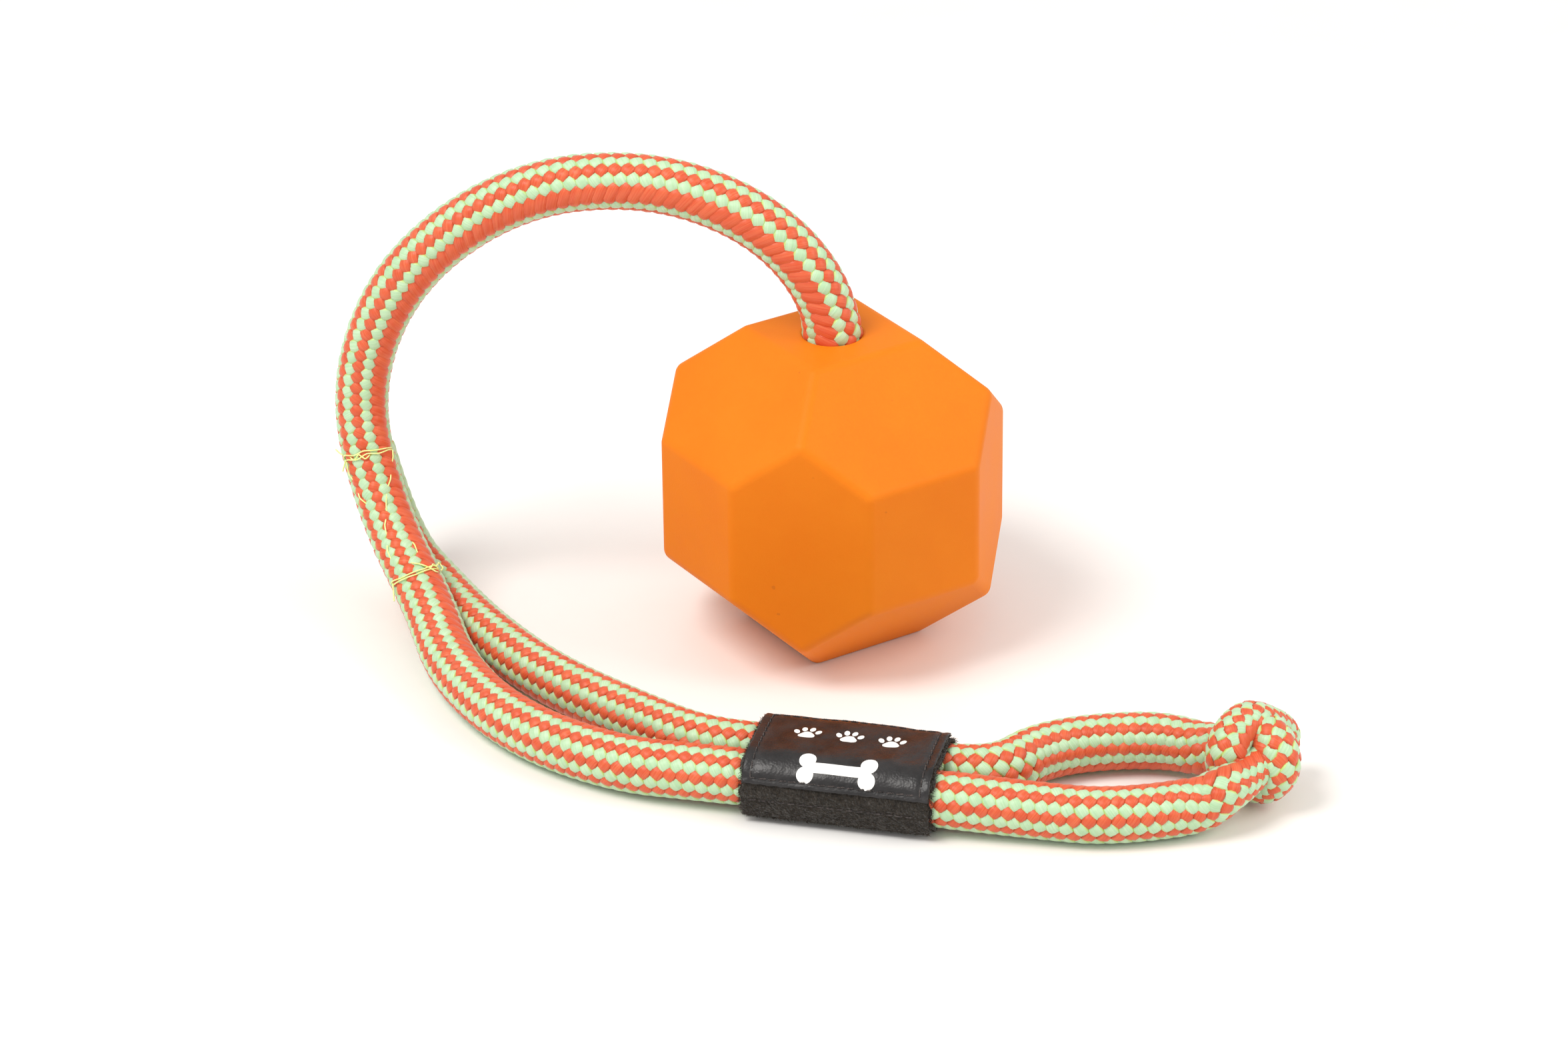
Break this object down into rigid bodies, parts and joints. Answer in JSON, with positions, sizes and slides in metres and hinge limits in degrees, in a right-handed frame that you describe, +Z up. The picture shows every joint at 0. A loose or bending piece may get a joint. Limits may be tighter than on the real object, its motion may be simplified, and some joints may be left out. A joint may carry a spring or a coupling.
{
  "type": "dog training bumper",
  "caption": "Faceted rubber fetch ball on a braided rope, which is sewn back into a hand loop with an end knot and a hook-and-loop label sleeve.",
  "frame": {"origin": "centre of the ball's bottom square face, on the surface it stands on", "axes": "+Z up along the rope's bore through the ball; +X right along the hand loop, away from the splice; +Y from the hand loop towards the ball"},
  "size_m": [0.1736, 0.1179, 0.092],
  "materials": {
    "orange_rubber": "satin matte moulded rubber",
    "braided_rope": "tubular braid of mint green and orange-red polypropylene yarns",
    "splice_thread": "bonded sewing thread, yellow-green",
    "loop_tape": "black napped loop tape",
    "hook_tape": "black hook tape",
    "leatherette": "semi-gloss black leatherette",
    "white_print": "white transfer print",
    "label_thread": "black sewing thread"
  },
  "bodies": {
    "ball": {"ball": "orange_rubber"},
    "rope": {"stop_knot": "braided_rope", "rope_lead": "braided_rope", "rope_splice": "braided_rope", "front_strand": "braided_rope", "back_strand": "braided_rope", "rope_tail": "braided_rope", "handle_knot": "braided_rope", "upper_seam_thread": "splice_thread", "lower_seam_thread": "splice_thread"},
    "sleeve": {"band": "loop_tape", "hook_strip": "hook_tape"},
    "flap": {"flap_backing": "loop_tape", "label_panel": "leatherette", "label_print": "white_print", "top_seam": "label_thread", "bottom_seam": "label_thread", "left_seam": "label_thread", "right_seam": "label_thread", "strip_seam": "label_thread"}
  },
  "joints": [
    {"name": "ball_swivel", "type": "hinge", "parent": "ball", "child": "rope", "pos_m": [0, 0, 0.06], "axis": [0, 0, 1], "continuous": true},
    {"name": "sleeve_slide", "type": "slide", "parent": "rope", "child": "sleeve", "axis": [0.9701, -0.2426, 0], "range_m": [-0.004, 0.002]},
    {"name": "flap_hinge", "type": "hinge", "parent": "sleeve", "child": "flap", "pos_m": [0.00349, -0.05951, 0.01128], "axis": [-0.9701, 0.2426, 0], "range_deg": [0, 110]}
  ]
}
